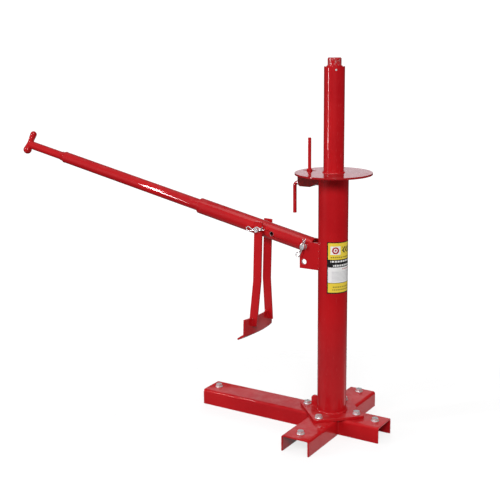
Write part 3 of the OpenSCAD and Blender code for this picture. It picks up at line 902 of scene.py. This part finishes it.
# %% Straps to blade
SHOE_LEAN = math.radians(2)
BLADE_R, BLADE_TOP, STRAP_END = 0.380, -0.2795, -0.306


def on_shoe(points):
    """Turns points of the shoe's own frame by its lean about Y and moves them on to the shoe pin."""
    x = points[:, 0] * math.cos(SHOE_LEAN) + points[:, 2] * math.sin(SHOE_LEAN)
    z = points[:, 2] * math.cos(SHOE_LEAN) - points[:, 0] * math.sin(SHOE_LEAN)
    return np.stack([x, points[:, 1], z], axis=1) + SHOE_PIN


def strap_side(z, y_top, flare=math.radians(8), bend=-0.165):
    """Sideways place of a strap face below the bend: leaning out by tan(flare) for each metre below it."""
    return y_top + np.tan(flare) * (bend - z)


shoe_lines = []
for side in (-1, 1):
    for y_top in (EAR_IN, EAR_OUT):
        z = np.linspace(BLADE_TOP + 0.0005, STRAP_END + 0.001, 50)
        y = strap_side(z, y_top)
        x = np.sqrt(BLADE_R ** 2 - y ** 2) - BLADE_R
        shoe_lines.append(bead(on_shoe(np.stack([x, side * y, z], axis=1)), 0.0024, (1, 0, 0)))
    y = np.linspace(strap_side(STRAP_END, EAR_IN), strap_side(STRAP_END, EAR_OUT), 14)
    x = np.sqrt(BLADE_R ** 2 - y ** 2) - BLADE_R
    end_line = np.stack([x, side * y, np.full_like(y, STRAP_END)], axis=1)
    shoe_lines.append(bead(on_shoe(end_line), 0.0022, (0, 0, 1)))
    z_top = np.full(30, BLADE_TOP)
    y = np.full(30, strap_side(BLADE_TOP, (EAR_IN + EAR_OUT) / 2))
    x = np.linspace(-0.0130, -0.0035, 30)
    shoe_lines.append(bead(on_shoe(np.stack([x, side * (y - 0.0031), z_top], axis=1)), 0.0018, (0, 0, 1)))
weld("weld_shoe", shoe_lines, "shoe")
print("beads on the shoe:", len(shoe_lines))

# %% [markdown]
# ## Beads on the handle
# One ring closes the cone on the bar, one joins the cone to the tube, and one runs round the end of the bar
# where it meets the waist of the bone-shaped head.

# %% Handle beads
SIDE_UP = np.array([math.sin(arm_slope), 0.0, math.cos(arm_slope)])


def on_arm(across, up, along):
    """Points at a distance along the arm from its pivot, up across it and sideways."""
    sideways = across[:, None] * np.array(ACROSS)
    return ARM_PIN + along[:, None] * ALONG_ARM + up[:, None] * SIDE_UP + sideways


def arm_ring(radius, along, count=160):
    a = 2 * np.pi * np.arange(count) / count
    return on_arm(radius * np.sin(a), radius * np.cos(a), np.full(count, along))


handle_rings = [
    bead(arm_ring(0.0188, 0.9862), 0.0010, ALONG_ARM, True),
    bead(arm_ring(0.0146, 1.0022), 0.0011, ALONG_ARM, True),
    bead(arm_ring(0.0128, 1.1560), 0.0018, ALONG_ARM, True),
]
weld("weld_handle", handle_rings, "handle", True)
print("rings on the handle:", len(handle_rings))

# %% [markdown]
# ## Spring clips
# Each clevis pin is held by an R-shaped clip of sprung wire: a straight leg through the pin's cross hole, a
# round loop at the back, and a second leg that bows over the pin and flares at its tip. The CAD wire has
# ten sides; this one is round and follows the same path with many more points.

# %% Bend the clip wire


def arc(centre, radius, start, end, count):
    """Points c + r (cos a, sin a) for angles a from start to end, in degrees."""
    a = np.radians(np.linspace(start, end, count))
    return np.stack([centre[0] + radius * np.cos(a), centre[1] + radius * np.sin(a)], axis=1)


def rounded(path, passes=3):
    """Cuts each corner at a quarter and three quarters of its edges, several times (Chaikin)."""
    for _ in range(passes):
        quarter = 0.75 * path[:-1] + 0.25 * path[1:]
        threequarter = 0.25 * path[:-1] + 0.75 * path[1:]
        path = np.concatenate([path[:1], np.stack([quarter, threequarter], axis=1).reshape(-1, 2), path[-1:]])
    return path


CLIP = rounded(np.concatenate([
    [[28, 0], [10, 0], [-10, 0]],
    arc((-30, 6.5), 6.5, -90, -315, 15),
    [[-20, 6.2], [-15.5, 3.4]],
    arc((0, 0), 9.9, 150, 40, 11),
    [[11, 4.2], [14, 3.8], [18, 5.2], [23, 8.5]],
]) / 1000, 2)


def spring_clip(name, pin, turn, body):
    """The clip's flat path stood up in the XZ plane, turned about Y and moved to its pin."""
    turn = math.radians(turn)
    x = CLIP[:, 0] * math.cos(turn) + CLIP[:, 1] * math.sin(turn)
    z = CLIP[:, 1] * math.cos(turn) - CLIP[:, 0] * math.sin(turn)
    side = box_of(name)
    y = np.full(len(CLIP), (side[0][1] + side[1][1]) / 2)
    path = np.stack([x + pin[0], y, z + pin[2]], axis=1)
    radius = np.full(len(path), 0.0016)
    radius[[0, -1]] = 0.0011
    tube = swept_points(path, radius, (0, 1, 0), sides=16)
    mesh = mesh_of_tubes(name, [tube], False)
    return finished_piece(name + "_wire", mesh, body, metal["wire"], [name])


spring_clip("arm_pin_clip", ARM_PIN, -69, "stand")
spring_clip("shoe_pin_clip", SHOE_PIN, -8, "arm")
print("clip wire points:", len(CLIP))

# %% [markdown]
# ## Threads
# A screw thread is a radius that depends on both the way along and the way round: a triangle wave of
# s / pitch - angle / (2 pi). The same function cuts the long adjuster screw under the disc and the ends of
# the bolts that show below the legs.

# %% Cut threads


def thread(start, direction, length, radius, pitch, sides=28):
    """r(s, a) = radius - depth |2 frac(s / pitch - a / 2 pi) - 1|, with depth 0.55 pitch."""
    direction = np.array(direction, float)
    helper = np.array([0, 1.0, 0]) if abs(direction[1]) < 0.9 else np.array([1.0, 0, 0])
    n = np.cross(helper, direction)
    b = np.cross(direction, n)
    s = np.linspace(0, length, max(8, int(length / pitch * 7)))
    a = 2 * np.pi * np.arange(sides) / sides
    phase = (s[:, None] / pitch - a[None, :] / (2 * np.pi)) % 1
    r = radius - 0.55 * pitch * np.abs(2 * phase - 1)
    r[[0, -1]] = radius - 0.6 * pitch
    round_part = np.cos(a)[None, :, None] * n + np.sin(a)[None, :, None] * b
    return np.array(start, float) + s[:, None, None] * direction + r[:, :, None] * round_part


screw_low, screw_high = box_of("crank_screw")
screw = thread((screw_low[0], 0, CRANK_AXIS[2]), (1, 0, 0), screw_high[0] - screw_low[0], 0.0050, 0.0030, 36)
finished_piece("crank_screw_thread", mesh_of_tubes("crank_screw_thread", [screw], False), "crank",
               metal["pins"], ["crank_screw"])

tips = []
for node, length in (("anchor_bolts", 0.006), ("flange_bolts", 0.012)):
    points = np.empty(len(nodes[node].data.vertices) * 3)
    nodes[node].data.vertices.foreach_get("co", points)
    points = points.reshape(-1, 3)
    foot = points[points[:, 2] < points[:, 2].min() + 1e-4]
    quarter = np.round(np.arctan2(foot[:, 1], foot[:, 0]) / (np.pi / 2)) % 4
    for one in np.unique(quarter):
        group = foot[quarter == one]
        centre = (group.min(0) + group.max(0)) / 2
        tips.append(thread((centre[0], centre[1], centre[2] - 0.0002), (0, 0, 1), length, 0.00605, 0.00175))
tip_mesh = mesh_of_tubes("bolt_threads", tips, False)
finished_piece("bolt_threads", tip_mesh, "stand", metal["bolts"])
print("bolt ends threaded:", len(tips))
